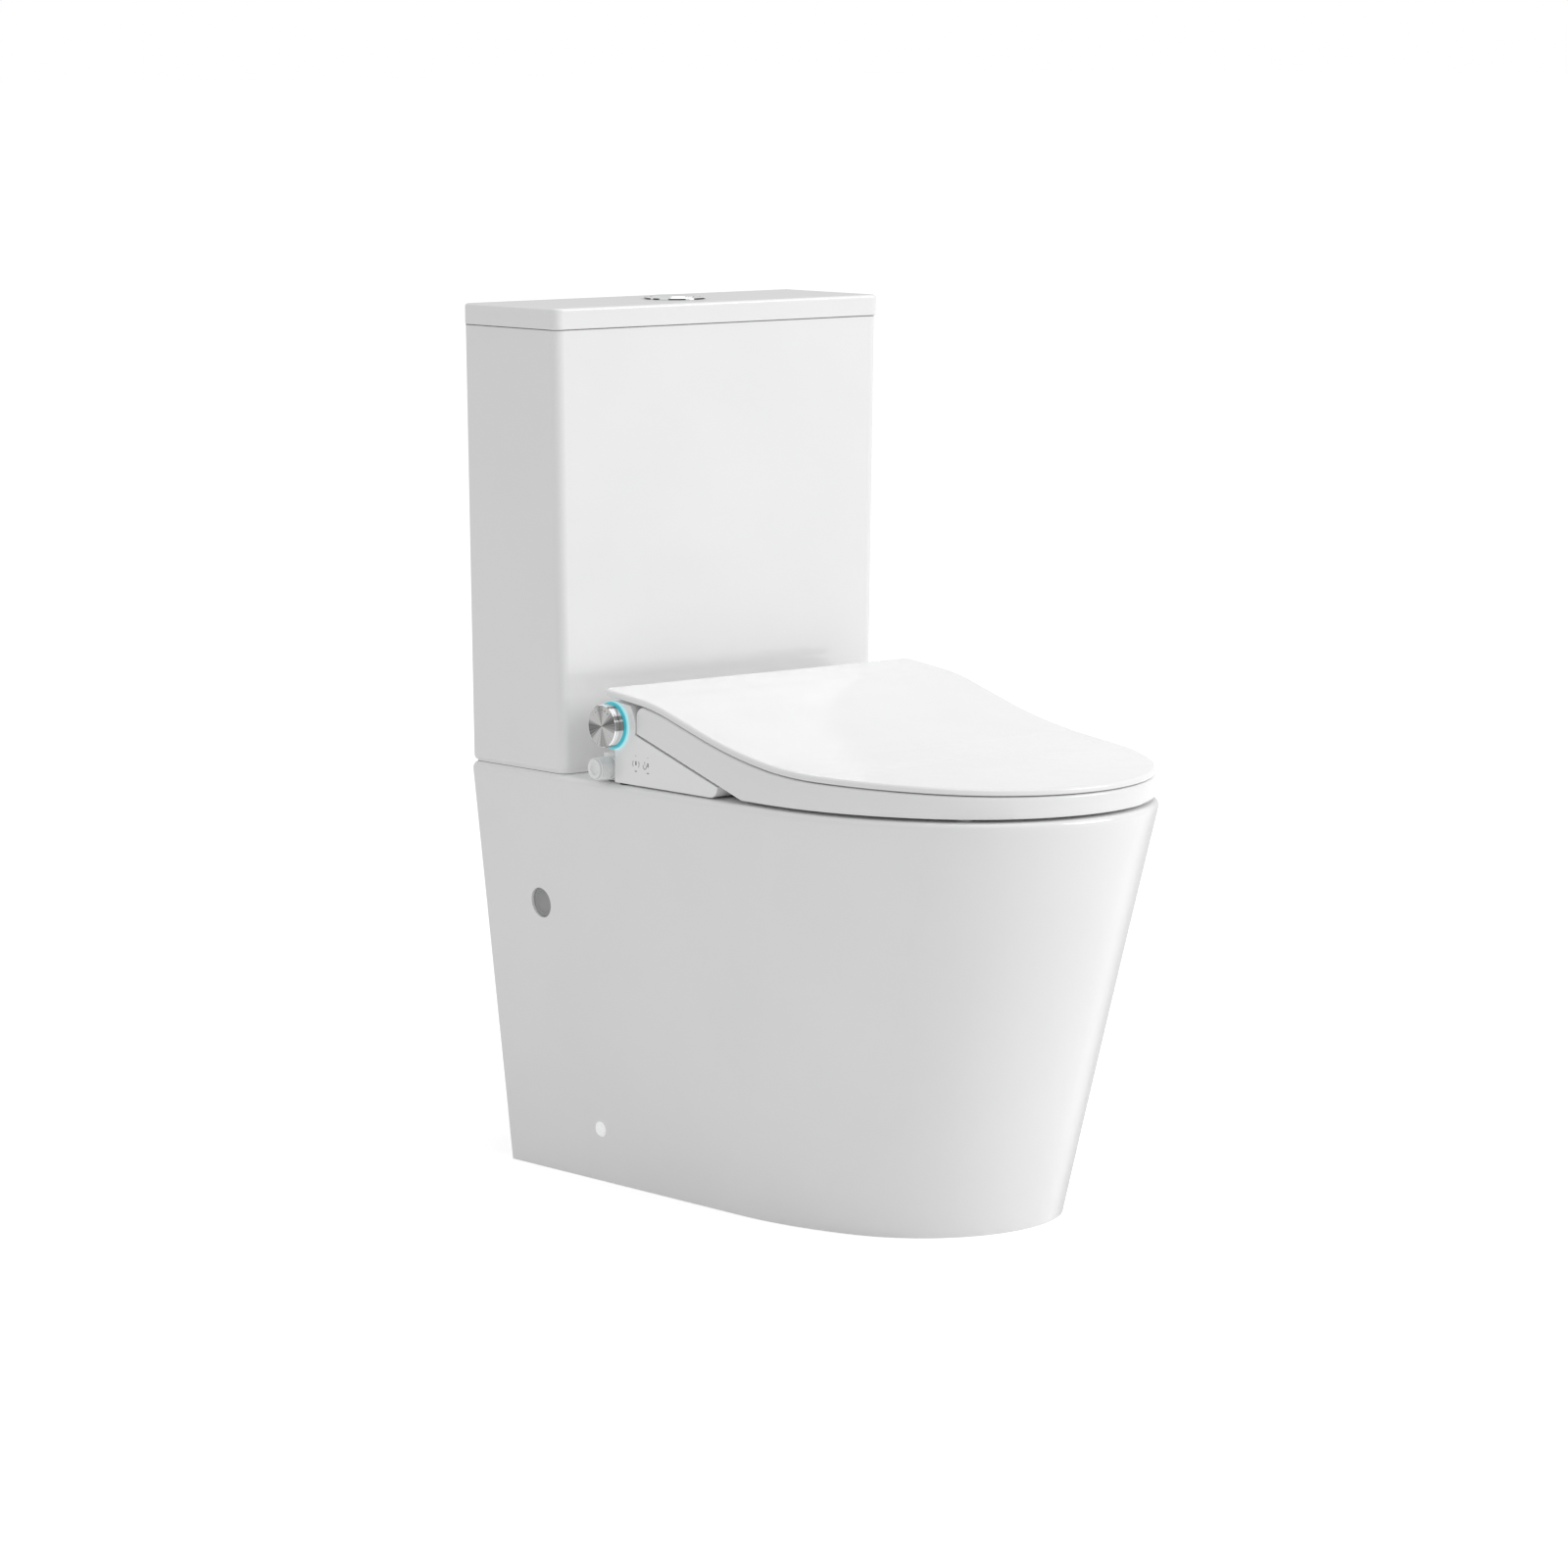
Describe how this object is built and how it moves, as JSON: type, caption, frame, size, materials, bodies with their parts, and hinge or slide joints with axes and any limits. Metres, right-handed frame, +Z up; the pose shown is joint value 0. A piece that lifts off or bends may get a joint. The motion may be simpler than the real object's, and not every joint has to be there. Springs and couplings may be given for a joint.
{
  "type": "bidet toilet",
  "caption": "Back-to-wall toilet with a skirted tapered pan, box cistern with dual flush button, and a slim non-electric bidet seat with side knob and water inlet.",
  "frame": {"origin": "floor level under the middle of the suite's outline", "axes": "+Z up, +Y towards the wall, -Y the front, the knob and the water inlet on the -X side"},
  "size_m": [0.404, 0.6635, 0.8332],
  "materials": {
    "glaze": "gloss",
    "seat_plastic": "gloss",
    "chrome": "polished",
    "brushed_metal": "turned brushed",
    "light": "glowing diffuser",
    "clear_plastic": "translucent",
    "valve_plastic": "satin",
    "grey_plastic": "matte",
    "rubber": "matte",
    "pale_rubber": "matte",
    "steel": "satin",
    "zinc_steel": "zinc plated",
    "hose": "translucent"
  },
  "bodies": {
    "suite": {"pan": "glaze", "cistern_tank": "glaze", "cistern_lid": "glaze", "button_bezel": "chrome", "button_nut": "valve_plastic", "flush_valve": "valve_plastic", "flush_washer": "rubber", "flush_nut": "valve_plastic", "tank_gasket": "rubber", "fill_valve": "valve_plastic", "fill_washer": "rubber", "fill_nut": "valve_plastic", "tank_bolts": "steel", "tank_cone_washers": "rubber", "tank_wing_nuts": "steel", "tank_pads": "pale_rubber", "side_plugs": "grey_plastic", "side_screws": "steel", "screw_caps": "seat_plastic", "floor_brackets": "zinc_steel", "bidet_base": "seat_plastic", "mounting_plate": "zinc_steel", "seat_bolts": "steel", "seat_bushes": "rubber", "seat_nuts": "valve_plastic", "base_feet": "rubber", "hose_cover": "seat_plastic", "inlet_nipple": "clear_plastic", "inlet_filter": "steel", "control_valve": "valve_plastic", "inlet_hose": "hose", "rear_hose": "hose", "front_hose": "hose", "light_ring": "light", "nozzle_guide": "valve_plastic", "nozzle_guard": "seat_plastic", "hinge_dampers": "grey_plastic", "hinge_pins": "steel"},
    "seat_ring": {"seat_ring": "seat_plastic", "ring_bumpers": "pale_rubber"},
    "seat_lid": {"seat_lid": "seat_plastic", "lid_bumpers": "pale_rubber"},
    "control_knob": {"knob": "chrome", "knob_cap": "brushed_metal", "valve_spindle": "steel"},
    "full_flush": {"full_flush_button": "chrome", "full_flush_rod": "valve_plastic"},
    "half_flush": {"half_flush_button": "chrome", "half_flush_rod": "valve_plastic"},
    "flush_lift": {"overflow_tube": "valve_plastic", "flush_seal": "rubber"},
    "float": {"fill_float": "grey_plastic"},
    "rear_wash": {"rear_wash_nozzle": "seat_plastic"},
    "front_wash": {"front_wash_nozzle": "seat_plastic"}
  },
  "joints": [
    {"name": "ring_hinge", "type": "hinge", "parent": "suite", "child": "seat_ring", "pos_m": [0, 0.123, 0.4475], "axis": [-1, 0, 0], "range_deg": [0, 96]},
    {"name": "lid_hinge", "type": "hinge", "parent": "seat_ring", "child": "seat_lid", "pos_m": [0, 0.123, 0.4475], "axis": [1, 0, 0], "range_deg": [-100, 0]},
    {"name": "knob_turn", "type": "hinge", "parent": "suite", "child": "control_knob", "pos_m": [-0.195, 0.123, 0.4475], "axis": [-1, 0, 0], "range_deg": [-90, 90]},
    {"name": "full_flush_press", "type": "slide", "parent": "suite", "child": "full_flush", "axis": [0, 0, -1], "range_m": [0, 0.006], "stiffness_N_per_m": 300, "springref_m": -0.012},
    {"name": "half_flush_press", "type": "slide", "parent": "suite", "child": "half_flush", "axis": [0, 0, -1], "range_m": [0, 0.006], "stiffness_N_per_m": 300, "springref_m": -0.01},
    {"name": "flush_lift", "type": "slide", "parent": "suite", "child": "flush_lift", "axis": [0, 0, 1], "range_m": [0, 0.018]},
    {"name": "float_rise", "type": "slide", "parent": "suite", "child": "float", "axis": [0, 0, 1], "range_m": [0, 0.11]},
    {"name": "rear_nozzle_slide", "type": "slide", "parent": "suite", "child": "rear_wash", "axis": [0, -0.993, -0.1184], "range_m": [0, 0.065], "stiffness_N_per_m": 20, "springref_m": -0.02},
    {"name": "front_nozzle_slide", "type": "slide", "parent": "suite", "child": "front_wash", "axis": [0, -0.993, -0.1184], "range_m": [0, 0.065], "stiffness_N_per_m": 20, "springref_m": -0.02}
  ],
  "couplings": [
    {"joint": "flush_lift", "follows": "full_flush_press", "ratio": 3}
  ]
}
